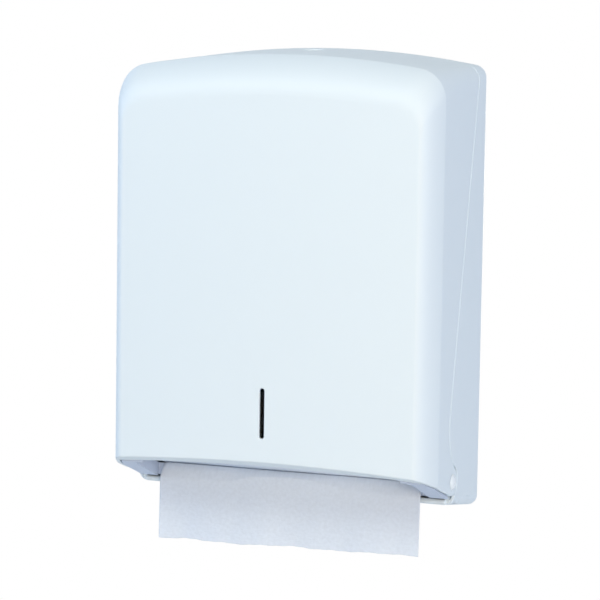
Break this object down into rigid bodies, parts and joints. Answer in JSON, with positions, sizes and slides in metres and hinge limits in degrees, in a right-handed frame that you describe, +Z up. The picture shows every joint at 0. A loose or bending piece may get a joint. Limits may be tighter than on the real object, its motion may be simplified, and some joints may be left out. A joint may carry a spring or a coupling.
{
  "type": "folded towel dispenser",
  "caption": "Wall dispenser for folded paper towels: arched white cover that swings down on side pins, level slot, key lock and a towel hanging from the bottom opening.",
  "frame": {"origin": "centre of the wall screw pattern, on the back face", "axes": "+X to the viewer's right, +Y into the wall, +Z up"},
  "size_m": [0.2942, 0.138, 0.4274],
  "materials": {
    "shell": "moulded ABS, white with a cool tint, semi-gloss",
    "pin": "moulded acetal, white, smooth",
    "inner": "moulded ABS, pale grey, fine matt texture",
    "steel": "zinc-plated steel, stamped",
    "lock": "nickel-plated, turned",
    "towel": "creped paper, white, uncoated"
  },
  "bodies": {
    "housing": {"back_housing": "shell", "towel_tray": "inner", "tray_screws": "steel", "left_towel_guide": "inner", "right_towel_guide": "inner", "guide_screws": "steel", "lock_keeper": "steel", "keeper_screws": "steel", "left_pivot_pin": "pin", "right_pivot_pin": "pin", "left_pin_clip": "steel", "right_pin_clip": "steel", "towel_stack": "towel"},
    "cover": {"front_cover": "shell", "lock_case": "lock", "lock_nut": "lock"},
    "lock": {"lock_cylinder": "lock", "lock_cam": "steel", "cam_screw": "steel"},
    "towel": {"leading_towel": "towel"}
  },
  "joints": [
    {"name": "cover_swing", "type": "hinge", "parent": "housing", "child": "cover", "pos_m": [0, -0.07, -0.169], "axis": [1, 0, 0], "range_deg": [0, 60]},
    {"name": "lock_turn", "type": "hinge", "parent": "cover", "child": "lock", "pos_m": [0, -0.032, 0.18], "axis": [0, 0, 1], "range_deg": [0, 90]},
    {"name": "towel_pull", "type": "slide", "parent": "housing", "child": "towel", "axis": [0, 0, -1], "range_m": [0, 0.11]}
  ]
}
